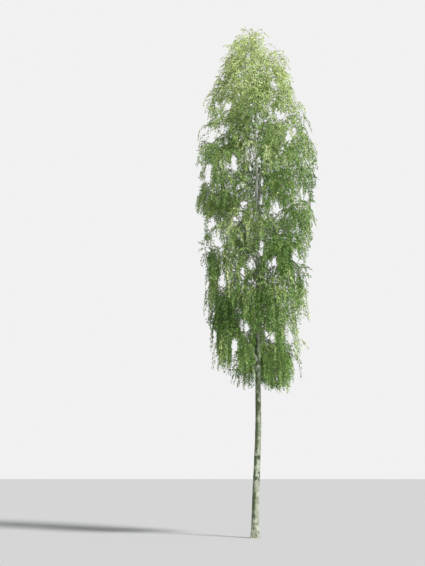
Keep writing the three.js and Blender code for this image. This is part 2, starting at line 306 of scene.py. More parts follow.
dash_share = calculated(bark_tree, "MULTIPLY", dark_share, DASH_STRENGTH)
film_and_shade_share = calculated(bark_tree, "MULTIPLY", share["film"], given["Film"])
colour = mixed(bark_tree, share["chalk"], CREAM, CHALK)
for pattern, patch in (("buff", BUFF), ("grey", GREY_BARK)):
    patch_share = calculated(bark_tree, "MULTIPLY", share[pattern], PATCH_STRENGTH)
    colour = mixed(bark_tree, patch_share, colour, patch)
# Fresh white bark, which also paints light on bark in the crown's shade.
colour = mixed(bark_tree, given["Fresh_and_lit"], colour, FRESH_LIT_WHITE)
# The green film, which also lays painted shade on the stem's side away from the lamp and under the
# crown.
colour = mixed(bark_tree, film_and_shade_share, colour, FILM_AND_SHADE_GREEN)
colour = mixed(bark_tree, given["Thinness"], colour, TWIG_BROWN)
colour = mixed(bark_tree, dash_share, colour, CRACK_BROWN)
colour = mixed(bark_tree, scar_share, colour, CRACK_BROWN)
bark_tree.links.new(colour, bark_out["Colour"])
rough = calculated(bark_tree, "MAXIMUM", dark_share, scar_share)
rough = calculated(bark_tree, "MULTIPLY", rough, CRACK_ROUGHNESS)
bark_tree.links.new(calculated(bark_tree, "ADD", rough, SKIN_ROUGHNESS), bark_out["Roughness"])
sunk = calculated(bark_tree, "MULTIPLY", scar_share, SCAR_SINK)
raised = calculated(bark_tree, "SUBTRACT", share["dash"], sunk)
ripple = level_grain(bark_tree, given["Place"], *RIPPLE)
bark_tree.links.new(calculated(bark_tree, "ADD", raised, ripple), bark_out["Height"])


def new_material(name):
    material = bpy.data.materials.new(name)
    material.use_nodes = True
    tree = material.node_tree
    place = add_node(tree, "ShaderNodeTexCoord").outputs["Object"]
    return material, tree, tree.nodes["Principled BSDF"], place


def bark_material(name, relief):
    material, tree, shader, place = new_material(name)
    group = add_node(tree, "ShaderNodeGroup", node_tree=bark_tree)
    tree.links.new(place, group.inputs["Place"])
    for socket in ("Scar", "Thinness", "Film", "Fresh_and_lit"):
        attribute = add_node(tree, "ShaderNodeAttribute", attribute_name=socket.lower())
        tree.links.new(attribute.outputs["Fac"], group.inputs[socket])
    bump = add_node(tree, "ShaderNodeBump", {"Strength": BARK_RELIEF, "Distance": relief})
    tree.links.new(group.outputs["Height"], bump.inputs["Height"])
    tree.links.new(group.outputs["Colour"], shader.inputs["Base Color"])
    tree.links.new(group.outputs["Roughness"], shader.inputs["Roughness"])
    tree.links.new(bump.outputs[0], shader.inputs["Normal"])
    shader.inputs["Specular IOR Level"].default_value = BARK_SHINE
    return material


# Where each bough leaves the trunk, and which way, by the source's rule.
CROWN_FOOT = 4.05
CROWN_LEVELS = [4.05, 5.0, 6.5, 8.5, 10.3, 12.0, 13.2, 13.9]
CROWN_RADII = [0.9, 1.25, 1.4, 1.52, 1.65, 1.18, 0.76, 0.16]
BOUGH_COUNT = 24
LOWEST_BOUGH, HIGHEST_BOUGH = 4.15, 12.3
FIRST_AZIMUTH = 1.4
AZIMUTH_JITTER = 0.5
BOUGH_REACH = 0.43
REACH_JITTER = 0.16
LOW_RISE, HIGH_RISE = 1.0, 1.75
ARCH = (0.36, 0.62)
BOUGH_SHARE = 0.44
BOUGH_TIP_RADIUS = 0.01
STEEP_BOUGH = {"foot": 7.8, "azimuth": 3.3, "reach": 0.34, "rise": 2.45, "pull": (0.9, 0.3)}
COLLAR_SHARE = 0.32  # of the bough's radius, by which the trunk swells round its foot
COLLAR_RISE = 0.6  # of that radius, from the bough's foot up to the collar's middle
COLLAR_REACH = 1.7  # of that radius
COLLAR_FLATNESS = 0.6  # below 1 it reaches further up and down than across


def crown_radius(height):
    return np.interp(height, CROWN_LEVELS, CROWN_RADII)


def bough_plan(index):
    random = seeded(SEED + index)
    share = index / (BOUGH_COUNT - 1)
    foot = lerp(LOWEST_BOUGH, HIGHEST_BOUGH, share)
    azimuth = FIRST_AZIMUTH + index * GOLDEN_ANGLE + (random() - 0.5) * AZIMUTH_JITTER
    rise_share = lerp(LOW_RISE, HIGH_RISE, share)
    guess = crown_radius(foot + rise_share * BOUGH_REACH * crown_radius(foot))
    reach = guess * (BOUGH_REACH + (random() - 0.5) * REACH_JITTER)
    return {"foot": foot, "azimuth": azimuth, "reach": reach, "rise": reach * rise_share, "pull": ARCH}


def bough_foot_radius(plan):
    return max(BOUGH_SHARE * trunk_radius(plan["foot"]), BOUGH_TIP_RADIUS)


bough_plans = [bough_plan(index) for index in range(BOUGH_COUNT)] + [STEEP_BOUGH]
levels = [*np.arange(0, BARE_HEIGHT, CLOSE_RING), *np.arange(BARE_HEIGHT, TRUNK_HEIGHT, FAR_RING)]
levels.append(TRUNK_HEIGHT)
height, turn = np.meshgrid(levels, np.arange(TRUNK_SIDES) / TRUNK_SIDES, indexing="ij")
plain_radius = trunk_radius(height)
lobes = ROOT_LOBE_DEPTH * np.exp(-height / FLARE_HEIGHT)
radius = plain_radius * (1 + lobes * np.cos(ROOT_LOBES * WHOLE_TURN * turn))
slim = plain_radius / BREAST_RADIUS
scar = np.zeros_like(radius)
for plan in bough_plans:
    bough_radius = bough_foot_radius(plan)
    middle = plan["foot"] + COLLAR_RISE * bough_radius
    across = across_bark(turn, plain_radius, plan["azimuth"])
    near = (across**2 + (height - middle) ** 2 * COLLAR_FLATNESS) / (COLLAR_REACH * bough_radius) ** 2
    radius += COLLAR_SHARE * bough_radius * np.exp(-near)
    width = SCAR_WIDTH * min(1, bough_radius / FULL_SCAR_RADIUS) + LEAST_SCAR_WIDTH
    stroke = eyebrow(turn, height, plain_radius, plan["azimuth"], middle + SCAR_RISE, width)
    scar = np.maximum(scar, stroke)
shed = seeded(SEED + 400)
for index in range(SHED_SCARS):
    level = lerp(LOWEST_SHED, HIGHEST_SHED, (index + SHED_SCATTER * shed()) / SHED_SCARS)
    azimuth = index * GOLDEN_ANGLE + shed()
    width = SCAR_WIDTH * lerp(*SHED_SIZES, shed())
    stroke = eyebrow(turn, height, plain_radius, azimuth, level, width)
    scar = np.maximum(scar, stroke)
    radius += SCAR_LIP * stroke
mossy = np.zeros_like(radius)
for level, half in DARK_BANDS:
    wander, patches = 0, MOSS_MEAN
    for cells_round, tall, offset in BAND_EDGES:
        wander += BAND_WANDER * half * bark_noise(turn, height, cells_round, tall, SEED + offset)
    band = 1 - smoothstep(np.abs(height - level + wander), BAND_CORE * half, BAND_END * half)
    for cells_round, tall, offset in MOSS_PATCHES:
        patches = patches + MOSS_PATCHINESS * bark_noise(turn, height, cells_round, tall, SEED + offset)
    scar = np.maximum(scar, band * np.clip(patches, 0, 1))
    mossy = np.maximum(mossy, band)
    radius += SCAR_LIP * band * patches
for offset, relief in enumerate((SWELL, STRIPS, WRINKLES)):
    cells_round, tall, depth = relief
    noise = bark_noise(turn, height, cells_round, tall, SEED + offset)
    if relief is STRIPS:
        noise = np.clip(STRIP_EDGE * noise, -1, 1)
    radius += depth * slim * noise
cracked = np.zeros_like(radius)
for index in range(DIAMONDS):
    level = DIAMOND_FOOT * (index / DIAMONDS) ** DIAMOND_CROWDING
    azimuth = index * GOLDEN_ANGLE + DIAMOND_SCATTER * shed()
    size = lerp(LOW_DIAMOND, HIGH_DIAMOND, level / DIAMOND_FOOT) * lerp(*DIAMOND_SIZES, shed())
    wide, tall = DIAMOND_WIDE * size, DIAMOND_TALL * size
    cracked = np.maximum(cracked, diamond(turn, height, plain_radius, azimuth, level, wide, tall))
ragged = CRACK_FRAY * bark_noise(turn, height, *RAGGED_CRACKS, SEED + 5)
cracked = smoothstep(cracked + ragged * (cracked > 0), CRACK_START, CRACK_FULL)
radius -= DIAMOND_DEPTH * cracked
scar = np.maximum(scar, DIAMOND_DARKNESS * cracked)
points = trunk_centre(height)
points[..., 0] += radius * np.cos(WHOLE_TURN * turn)
points[..., 1] += radius * np.sin(WHOLE_TURN * turn)
trunk_bark = mesh_object("trunk_bark", points.reshape(-1, 3), tube_faces(len(levels), TRUNK_SIDES))
LAMP_SIDE_BEARING = 0.72  # radians, the side towards the lamp; painted shade, as a thicker green film, is thickest opposite it, on the front left
LIGHT_FILM, SHADED_SIDE_FILM = 0.36, 1.2
FILM_SIDE = (0.55, 0.92)  # cosines between which it thickens
FILM_FOOT = (0.3, 0.6)  # heights between which it sets in
CLEARED_FILM = 0.75  # share of it that is gone higher up
CLEARING = (4.5, 9.0)
SHADED_FILMS = [(0.14, 1.6, 2.8), (0.42, 2.9, 3.5)]  # painted shade of the crown, laid on as more film, and the heights from which it sets in
SHADE_END = (4.4, 6.0)
FILM_CELLS = (3, 0.2)
FILM_PATCHES = 0.3
MOSS = 2.4
TOP_THINNESS, THIN_FROM = 0.5, 10.8
FRESHNESS_AND_LIGHT, FRESH_LIT_HEIGHTS = 0.85, (4.2, 7.5)
TRUNK_BUMP = 0.003
# Painted shade: more green film on the side turned away from the lamp.
shaded_side = smoothstep(-np.cos(WHOLE_TURN * turn - LAMP_SIDE_BEARING), *FILM_SIDE)
shaded_side *= smoothstep(height, *FILM_FOOT)
film = lerp(LIGHT_FILM, SHADED_SIDE_FILM, shaded_side) * (1 - CLEARED_FILM * smoothstep(height, *CLEARING))
# Painted shade of the crown: more film from below its foot, fading out higher up within it.
painted_crown_shade = sum(more * smoothstep(height, low, high) for more, low, high in SHADED_FILMS)
film += painted_crown_shade * (1 - smoothstep(height, *SHADE_END))
film += FILM_PATCHES * bark_noise(turn, height, *FILM_CELLS, SEED + 10)
film = np.maximum(film, MOSS * mossy)
store(trunk_bark.data, "scar", scar)
store(trunk_bark.data, "film", film)
store(trunk_bark.data, "thinness", TOP_THINNESS * smoothstep(height, THIN_FROM, TRUNK_HEIGHT))
# Whiter bark within the crown: fresh bark, and painted light lifting the shade the leaves cast on the
# stem.
store(trunk_bark.data, "fresh_and_lit", FRESHNESS_AND_LIGHT * smoothstep(height, *FRESH_LIT_HEIGHTS))
trunk_bark.data.materials.append(bark_material("white_birch_bark", TRUNK_BUMP))
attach(trunk_bark, "root")
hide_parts("trunk")


# Boughs: limbs that leave the trunk by the golden angle in a thickened collar, rise steeply and arch
# over. Their bark is white at the foot and turns brown as they thin towards the tip.
BOUGH_RINGS = 34
BOUGH_SIDES = 14
FOOT_FLARE = 0.75  # of its radius, by which a bough spreads where it meets the trunk
FOOT_FLARE_LENGTH = 0.055
KNUCKLE_CELLS, KNUCKLE_DEPTH = (3, 0.12), 0.09
FOOT_DARKNESS, FOOT_DARK_LENGTH = 0.5, 0.03  # of the bark in the crotch
BROWN_RADIUS, WHITE_RADIUS = 0.009, 0.022  # thinner than the first a bough is brown
TIP_THINNESS = 0.85
BOUGH_FRESHNESS_AND_LIGHT = 0.6
BOUGH_BUMP = 0.002


def around(azimuth):
    return np.array([math.cos(azimuth), math.sin(azimuth), 0.0])


UP = np.array([0.0, 0.0, 1.0])


def unit(vector):
    return vector / np.linalg.norm(vector)


def arc(start, pulled, end, steps):
    shares = np.linspace(0, 1, steps + 1)[:, None]
    return start * (1 - shares) ** 2 + pulled * 2 * shares * (1 - shares) + end * shares**2


def bough_path(plan, steps):
    start = trunk_centre(plan["foot"])
    out = around(plan["azimuth"])
    pulled = start + out * plan["pull"][0] * plan["reach"] + UP * plan["pull"][1] * plan["rise"]
    return arc(start, pulled, start + out * plan["reach"] + UP * plan["rise"], steps)


bough_points, bough_faces, bough_scars, bough_thinness = [], [], [], []
for number, plan in enumerate(bough_plans):
    path = bough_path(plan, BOUGH_RINGS - 1)
    travelled = np.concatenate([[0], np.cumsum(np.linalg.norm(np.diff(path, axis=0), axis=1))])
    foot_radius = bough_foot_radius(plan)
    side = around(plan["azimuth"] + math.pi / 2)
    first = len(bough_points) * BOUGH_SIDES
    bough_faces += tube_faces(BOUGH_RINGS, BOUGH_SIDES, first)
    turns = np.arange(BOUGH_SIDES) / BOUGH_SIDES
    for ring, point in enumerate(path):
        share = ring / (BOUGH_RINGS - 1)
        along = unit(path[min(ring + 1, BOUGH_RINGS - 1)] - path[max(ring - 1, 0)])
        side = unit(side - along * side.dot(along))
        out_of_trunk = max(travelled[ring] - trunk_radius(plan["foot"]), 0)
        flare = 1 + FOOT_FLARE * math.exp(-out_of_trunk / FOOT_FLARE_LENGTH)
        along_bough = np.full(BOUGH_SIDES, travelled[ring])
        knuckle = bark_noise(turns, along_bough, *KNUCKLE_CELLS, SEED + 40 + number)
        radii = lerp(foot_radius, BOUGH_TIP_RADIUS, share) * flare * (1 + KNUCKLE_DEPTH * knuckle)
        offsets = np.outer(np.cos(WHOLE_TURN * turns), side)
        offsets += np.outer(np.sin(WHOLE_TURN * turns), np.cross(along, side))
        bough_points.append(point + offsets * radii[:, None])
        dark = FOOT_DARKNESS * math.exp(-out_of_trunk / FOOT_DARK_LENGTH)
        bough_scars.append(np.full(BOUGH_SIDES, dark))
        thin = 1 - smoothstep(radii.mean(), BROWN_RADIUS, WHITE_RADIUS)
        bough_thinness.append(np.full(BOUGH_SIDES, TIP_THINNESS * thin))
bough_bark = mesh_object("bough_bark", np.concatenate(bough_points), bough_faces)
store(bough_bark.data, "scar", np.concatenate(bough_scars))
store(bough_bark.data, "thinness", np.concatenate(bough_thinness))
# The boughs' bark is whiter too: fresh bark, and painted light lifting the crown's shade on it.
store(bough_bark.data, "fresh_and_lit", np.full(len(bough_points) * BOUGH_SIDES, BOUGH_FRESHNESS_AND_LIGHT))
bough_bark.data.materials.append(bark_material("bough_birch_bark", BOUGH_BUMP))
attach(bough_bark, "root")
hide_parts(*[f"bough_{index + 1:02d}" for index in range(BOUGH_COUNT)], "steep_bough")


# Branches: each bough runs on into a thin leader, and smaller leaders leave the trunk between the
# boughs and at its top. Twigs leave the leaders by the golden angle, and side branches leave them
# all, each as long as the leaf spray that stands for it in the solids.
INNER_MASSES = 7
LOWEST_INNER, HIGHEST_INNER = 4.9, 11.9
FIRST_INNER_AZIMUTH = 1.0
INNER_STEM_LENGTH = 0.26
TOP_STEM_LENGTH = 0.42
STEM_REACH = 0.32
SHORTEST_STEM = 0.2
STEM_RADIUS = 0.008
SAG_PER_METRE = 5
LOW_SAG, HIGH_SAG = 0.34, 0.1
LOW_HANG, HIGH_HANG, TOP_HANG = 2.4, 0.7, 0.3
HANG_TILT = 0.35  # by which the hang tips a side branch down
SPRAY_LENGTH = 0.78
TOP_SPRAY_SHARE, TWIG_SPRAY_SHARE = 0.7, 0.6
TWIGS = 8
FIRST_TWIG, LAST_TWIG = 0.1, 0.9
TWIG_LENGTH = 0.44
TWIG_SPREAD = 0.95
TWIG_SIZES = (0.7, 1.15)
SIDE_BRANCHES = 3
FIRST_SIDE, LAST_SIDE = 0.25, 0.85
SIDE_LENGTH = 0.6
SIDE_SPREAD = 0.95
SIDE_SIZES = (0.6, 1.1)
BRANCH_STEP = 0.1
TWIG_RADIUS, SIDE_RADIUS, END_RADIUS = 0.0055, 0.004, 0.0016
SMALLER_TRIES = [1, 0.85, 0.7, 0.55, 0.42]
OUTERMOST = 1.1  # of the crown's radius, to which the fullest clumps reach
RAGGED = 0.34  # of that radius, by which the outline falls back between clumps
CLUMP_POWER = 1.3
COARSE_CLUMPS, FINE_CLUMPS = (8, 0.6), (23, 0.24)  # how many round the crown, and how tall
FULL_LEVEL, FULL_HALF, FULL_SHARE = 9.7, 0.7, 0.55  # where the crown is widest it falls back less
SPRAY_FOOT = 3.9
RAGGED_FOOT = 0.75  # by which its lowest sprays end higher between clumps, least on the right
FOOT_MEAN, FOOT_SIDE = 0.6, 0.45
FOOT_CLUMPS = (13, 1.0)
SKY_GAPS = [
    # sky seen through the crown from the front: across, up, half width, half height
    (0.4, 13.42, 0.13, 0.3),
    (-0.63, 11.63, 0.13, 0.18),
    (0.76, 11.33, 0.17, 0.19),
    (-1.09, 10.83, 0.15, 0.2),
    (0.97, 10.7, 0.13, 0.18),
    (0.17, 10.1, 0.06, 0.12),
    (-0.48, 9.95, 0.13, 0.26),
    (0.66, 8.72, 0.24, 0.22),
    (-1.14, 8.39, 0.14, 0.18),
    (-0.94, 7.81, 0.1, 0.18),
    (1.13, 7.46, 0.14, 0.24),
    (-0.05, 7.22, 0.16, 0.12),
    (0.49, 7.22, 0.14, 0.14),
    (-0.18, 5.46, 0.12, 0.14),
    (0.43, 5.25, 0.17, 0.17),
    (0.95, 5.4, 0.13, 0.15),
    (-0.49, 5.04, 0.13, 0.15),
]
GAP_WANDER = 0.45  # of its size, by which a gap's edge wanders in and out
GAP_FRAY = 0.65  # of its size, by which some shoots reach into a gap
GAP_EDGE = (7, 1.0)  # cells of the noise that moves its edge
STEM_GLIMPSES = [
    # the pale stem seen between the leaves in front of it: across, up, half height
    (0.02, 9.9, 0.42),
    (0.14, 9.2, 0.6),
    (0.12, 7.4, 0.14),
    (0.11, 5.1, 0.2),
    (0.1, 4.4, 0.4),
]
GLIMPSE_WIDE = 0.075
GLIMPSE_FRONT = -0.05  # how far in front of the stem's middle such a place begins
NOISE_LEFT, NOISE_LOW = 2.1, 3.4  # where cells are counted from, left of the crown and below it
SLOT_WIDE, SLOT_TALL = 0.18, 0.36  # cells of the small upright openings between the hanging sprays
SLOT_FROM = 0.8
SLOT_FRAY = 0.12
LOWEST_SLOT = 5.1  # below it the fringe of hanging sprays is closed
LEAF_MARGIN = 0.056
BOX_ALLOWANCE = 0.03  # of each side of the solids' box, by which leaves may stand out of it
NEARLY_UPRIGHT = 0.9
EYE_DISTANCE = 29.0
EYE_HEIGHT = 1.6
gap_across, gap_up, gap_wide, gap_tall = np.array(SKY_GAPS).T
glimpse_across, glimpse_up, glimpse_tall = np.array(STEM_GLIMPSES).T
slot_values = np.random.default_rng(SEED + 710).random((2, 32, 28))


def grow_path(start, heading, length, sag, step):
    steps = max(2, round(length / step))
    points = [start]
    direction = unit(heading)
    for _ in range(steps):
        points.append(points[-1] + direction * length / steps)
        direction = unit(direction - UP * sag * length / steps)
    return np.array(points)


def along_path(path, share):
    at = share * (len(path) - 1)
    first = min(int(at), len(path) - 2)
    point = lerp(path[first], path[first + 1], at - first)
    return point, unit(path[first + 1] - path[first])


def branch_heading(along, turn, spread):
    side = unit(np.cross(along, around(0) if abs(along[2]) > NEARLY_UPRIGHT else UP))
    side = side * math.cos(turn) + np.cross(along, side) * math.sin(turn)
    return along * math.cos(spread) + side * math.sin(spread)


# How far wood may reach, so that the leaves at its ends stand only a little proud of the solids' box.
proud = BOX_ALLOWANCE * (np.array(cad_high) - np.array(cad_low)) - LEAF_MARGIN
reach_low, reach_high = np.array(cad_low) - proud, np.array(cad_high) + proud


# True where small openings, seen from the front or from the side, are shut by a path.
def shuts_slot(across, up, values, fray):
    at_across, at_up = (across + NOISE_LEFT) / SLOT_WIDE, (up - NOISE_LOW) / SLOT_TALL
    left, low = np.floor(at_across).astype(int), np.floor(at_up).astype(int)
    share = smoothstep(at_across - left, 0, 1)
    bottom = lerp(values[low, left], values[low, left + 1], share)
    top = lerp(values[low + 1, left], values[low + 1, left + 1], share)
    open_here = lerp(bottom, top, smoothstep(at_up - low, 0, 1)) > SLOT_FROM + SLOT_FRAY * fray
    return np.any(open_here & (up > LOWEST_SLOT))


# True where the whole path lies in the crown and shuts no gap. Only shoots are given a fray, and
# keep the small openings too.
def in_crown(path, slack=0.0, fray=None):
    away = path - trunk_centre(path[:, 2])
    turns = np.arctan2(away[:, 1], away[:, 0]) / WHOLE_TURN
    heights = np.clip(path[:, 2], 0, TREE_HEIGHT)
    clumps = 0.5 + 0.25 * bark_noise(turns, heights, *COARSE_CLUMPS, SEED + 500)
    clumps += 0.25 * bark_noise(turns, heights, *FINE_CLUMPS, SEED + 501)
    fullness = FULL_SHARE * np.exp(-(((heights - FULL_LEVEL) / FULL_HALF) ** 2))
    clumps = np.clip(clumps, 0, 1) ** CLUMP_POWER * (1 - fullness)
    limit = crown_radius(path[:, 2]) * (OUTERMOST - RAGGED * clumps) + slack
    if np.any(np.hypot(away[:, 0], away[:, 1]) > limit):
        return False
    if np.any(path < reach_low) or np.any(path > reach_high):
        return False
    clumps = 0.5 + 0.5 * bark_noise(turns, 0 * turns, *FOOT_CLUMPS, SEED + 502)
    raised = RAGGED_FOOT * clumps * (FOOT_MEAN - FOOT_SIDE * np.cos(WHOLE_TURN * turns))
    if np.any(path[:, 2] < SPRAY_FOOT - slack + raised) or path[:, 2].max() > TREE_HEIGHT:
        return False
    nearer = EYE_DISTANCE / (EYE_DISTANCE + path[:, 1])
    across, up = path[:, 0] * nearer, EYE_HEIGHT + (path[:, 2] - EYE_HEIGHT) * nearer
    right = (across[:, None] - gap_across) / gap_wide
    above = (up[:, None] - gap_up) / gap_tall
    out = np.hypot(right, above)
    beside_stem = (across[:, None] - glimpse_across) / GLIMPSE_WIDE
    before_stem = np.hypot(beside_stem, (up[:, None] - glimpse_up) / glimpse_tall) < 1
    if np.any(before_stem & (path[:, 1:2] < GLIMPSE_FRONT)):
        return False
    for number in np.flatnonzero(out.min(axis=0) < 1 + GAP_WANDER):
        turns = np.arctan2(above[:, number], right[:, number]) / WHOLE_TURN
        edge = 1 + GAP_WANDER * bark_noise(turns, 0 * up, *GAP_EDGE, SEED + number)
        edge -= GAP_FRAY * (fray or 0)
        if np.any(out[:, number] < edge):
            return False
    if fray is None:
        return True
    if shuts_slot(across, up, slot_values[0], fray):
        return False
    return not shuts_slot(path[:, 1], path[:, 2], slot_values[1], fray)


LEAFY_SIZE, TONE_SIZE = 0.55, 0.75
CLUMP_EDGES = (0.3, 0.7)  # values of the plain noise at which a clump begins and is full
TOP_THINNING = (-0.4, 0.3)  # metres below the top, between which the crown thickens


# Noise from 0 to 1 in clumps of a size through the crown.
def clump_noise(point, values, size):
    at = (np.asarray(point) + np.array([NOISE_LEFT, NOISE_LEFT, -NOISE_LOW])) / size
    low = np.floor(at).astype(int)
    share = smoothstep(at - low, 0, 1)
    corner = values[low[0] : low[0] + 2, low[1] : low[1] + 2, low[2] : low[2] + 2]
    corner = lerp(corner[0], corner[1], share[0])
    corner = lerp(corner[0], corner[1], share[1])
    return float(smoothstep(lerp(corner[0], corner[1], share[2]), *CLUMP_EDGES))


leafy_values, tone_values = np.random.default_rng(SEED + 700).random((2, 10, 10, 24))


def leafiness(point):
    below_top = TREE_HEIGHT - point[2]
    return clump_noise(point, leafy_values, LEAFY_SIZE) * smoothstep(below_top, *TOP_THINNING)


# The longest of the sizes tried that keeps to the crown, or None.
def fitted(start, heading, length, sag, step, slack=0.0, fray=None):
    for size in SMALLER_TRIES:
        path = grow_path(start, heading, size * length, sag, step)
        if in_crown(path[1:], slack, fray):
            return path
    return None


leaders = []
for index, plan in enumerate(bough_plans):
    path = bough_path(plan, BOUGH_RINGS - 1)
    tip = path[-1]
    node = f"foliage_{index + 1:02d}" if index < BOUGH_COUNT else "steep_foliage"
    length = max(STEM_REACH * crown_radius(tip[2]), SHORTEST_STEM) + SPRAY_LENGTH
    leaders.append((node, 100 + index, tip, unit(tip - path[-2]), length, BOUGH_TIP_RADIUS))
for index in range(INNER_MASSES):
    node = f"inner_foliage_{index + 1:02d}"
    start = trunk_centre(lerp(LOWEST_INNER, HIGHEST_INNER, index / (INNER_MASSES - 1)))
    heading = unit(around(FIRST_INNER_AZIMUTH + index * GOLDEN_ANGLE) + UP)
    leaders.append((node, 200 + index, start, heading, INNER_STEM_LENGTH + SPRAY_LENGTH, STEM_RADIUS))
length = TOP_STEM_LENGTH + TOP_SPRAY_SHARE * SPRAY_LENGTH
start, top_radius = trunk_centre(TRUNK_HEIGHT), float(trunk_radius(TRUNK_HEIGHT))
leaders.append(("top_foliage", 300, start, UP, length, top_radius))
foliage_nodes = [node for node, *_ in leaders]
branches = []


def add_branch(node, start, heading, length, sag, radius):
    path = fitted(start, heading, length, sag, BRANCH_STEP)
    if path is None:
        return None
    branch = {"node": node, "path": path, "radius": radius}
    branches.append(branch)
    return branch


for node, seed, start, heading, length, radius in leaders:
    random = seeded(SEED + seed)
    share = (start[2] - CROWN_FOOT) / (TREE_HEIGHT - CROWN_FOOT)
    sag = SAG_PER_METRE * lerp(LOW_SAG, HIGH_SAG, share)
    hang = lerp(LOW_HANG, HIGH_HANG, share)
    if node == "top_foliage":
        sag, hang = 0.0, TOP_HANG
    stem = add_branch(node, start, heading, length, sag, radius)
    if stem is None:
        continue
    carriers = [stem]
    for k in range(TWIGS):
        point, along = along_path(stem["path"], lerp(FIRST_TWIG, LAST_TWIG, k / (TWIGS - 1)))
        heading = branch_heading(along, k * GOLDEN_ANGLE + random(), TWIG_SPREAD)
        length = (TWIG_LENGTH + TWIG_SPRAY_SHARE * SPRAY_LENGTH) * lerp(*TWIG_SIZES, random())
        twig = add_branch(node, point, heading, length, sag, TWIG_RADIUS)
        if twig:
            carriers.append(twig)
    for c, carrier in enumerate(carriers):
        for k in range(SIDE_BRANCHES):
            at = lerp(FIRST_SIDE, LAST_SIDE, k / (SIDE_BRANCHES - 1))
            point, along = along_path(carrier["path"], at)
            heading = branch_heading(along, (c + k) * GOLDEN_ANGLE + 2 * random(), SIDE_SPREAD)
            heading = unit(heading - UP * HANG_TILT * hang * random())
            length = SIDE_LENGTH * lerp(*SIDE_SIZES, random())
            add_branch(node, point, heading, length, sag, SIDE_RADIUS)


# Shoots leave a branch on both sides, reach out a little and hang down. They are longest low in the
# crown, and fewer and shorter in the clumps where leaves are thin.
SHOOT_SPACING = 0.05
FIRST_SHOOT = 0.1  # from a branch's foot
SHOOT_HEIGHTS = [4.2, 5.5, 7.5, 13.9]
SHOOT_LENGTHS = [0.7, 1.15, 0.75, 0.28]
SHOOT_SIZES = (0.5, 1.3)
LEAFY_SIZES = (0.65, 1.15)  # where leaves are thin, and where they grow thick
SHOOT_SAG = 7.0
SHOOT_SAGS = (0.6, 1.2)
SHOOT_SPREAD, END_SPREAD = 0.9, 0.25
SHOOT_TWIST = 1.2
SHOOT_STEP = 0.09
STRAY = 0.15  # by which some shoots stand out of the crown
LOW_OUT, LOW_HEIGHT, LOW_DEPTH = 0.12, 6.2, 1.2  # by which the lowest hang further out and down
THIN_SHOOTS = 0.5  # share of the shoots that grow where leaves are thin
TONE_CLUMPING = 0.6  # share of a branch's tone that it has from the clump it grows in
SHOOT_RADIUS, SHOOT_END_RADIUS = 0.0019, 0.001


def grow_shoots(branch, number):
    random = seeded(SEED + 1000 + number)
    path = branch["path"]
    length = np.linalg.norm(np.diff(path, axis=0), axis=1).sum()
    clump_tone = clump_noise(path[-1], tone_values, TONE_SIZE)
    branch["tone"] = lerp(random(), clump_tone, TONE_CLUMPING)
    branch["shoots"] = []
    count = max(2, round((length - FIRST_SHOOT) / SHOOT_SPACING))
    for k in range(count + 1):
        at = lerp(min(FIRST_SHOOT / length, 0.5), 1, k / count)
        point, along = along_path(path, at)
        spread = SHOOT_SPREAD * lerp(1, END_SPREAD, k == count)
        turn = math.pi * (k % 2) + SHOOT_TWIST * (random() - 0.5) + number
        heading = branch_heading(along, turn, spread)
        reach = np.interp(point[2], SHOOT_HEIGHTS, SHOOT_LENGTHS) * lerp(*SHOOT_SIZES, random())
        thick = leafiness(point)
        reach *= lerp(*LEAFY_SIZES, thick)
        sag = SHOOT_SAG * lerp(*SHOOT_SAGS, random())
        slack = STRAY * random() ** 2 + LOW_OUT * smoothstep(LOW_HEIGHT - point[2], 0, LOW_DEPTH)
        if random() > lerp(THIN_SHOOTS, 1, thick):
            continue
        shoot = fitted(point, heading, reach, sag, SHOOT_STEP, slack, random())
        if shoot is not None:
            branch["shoots"].append(shoot)


for number, branch in enumerate(branches):
    grow_shoots(branch, number)

# Where the rule leaves a hole in the crown, a further branch grows into it from the nearest wood.
FILL_TRIES = 14000
THICK_GAP, THIN_GAP = 0.085, 0.23  # the holes left where leaves grow thick, and where they are thin
NEAREST_FILL, FARTHEST_FILL = 0.12, 1.3
DOWNWARD_COST = 0.6  # more metres for each metre that a filling branch would go down
FILL_ARCH = 0.22
FILL_RADII = (0.0025, 0.006)
stretches = [(branch["path"][1:], foliage_nodes.index(branch["node"])) for branch in branches]
for index, plan in enumerate(bough_plans):
    stretches.append((bough_path(plan, BOUGH_RINGS - 1)[BOUGH_RINGS // 3 :], index))
wood = np.concatenate([path for path, _ in stretches])
wood_node = np.concatenate([np.full(len(path), index) for path, index in stretches])
leafy = np.concatenate([shoot for branch in branches for shoot in branch["shoots"]])
draws = np.random.default_rng(SEED + 600).random((FILL_TRIES, 3))
for height_share, turn_share, out_share in draws:
    height = lerp(CROWN_FOOT, TREE_HEIGHT, height_share)
    wide_share = crown_radius(height) / max(CROWN_RADII)
    if out_share > wide_share:
        continue
    out = crown_radius(height) * math.sqrt(out_share / wide_share)
    target = trunk_centre(height) + around(WHOLE_TURN * turn_share) * out
    hole = lerp(THIN_GAP, THICK_GAP, leafiness(target))
    if np.min(np.sum((leafy - target) ** 2, axis=1)) < hole**2:
        continue
    away = np.linalg.norm(wood - target, axis=1)
    away += DOWNWARD_COST * np.maximum(wood[:, 2] - target[2], 0)
    nearest = int(np.argmin(away))
    start = wood[nearest]
    if not NEAREST_FILL < away[nearest] < FARTHEST_FILL:
        continue
    span = target - start
    reach = np.linalg.norm(span)
    middle = start + 0.5 * span + UP * FILL_ARCH * reach
    path = arc(start, middle, target, max(3, round(reach / BRANCH_STEP)))
    if not in_crown(path[1:]):
        continue
    node = foliage_nodes[wood_node[nearest]]
    branch = {"node": node, "path": path, "radius": lerp(*FILL_RADII, reach)}
    branches.append(branch)
    grow_shoots(branch, len(branches))
    wood = np.concatenate([wood, path[1:]])
    wood_node = np.concatenate([wood_node, np.full(len(path) - 1, wood_node[nearest])])
    leafy = np.concatenate([leafy, path[-1:], *branch["shoots"]])


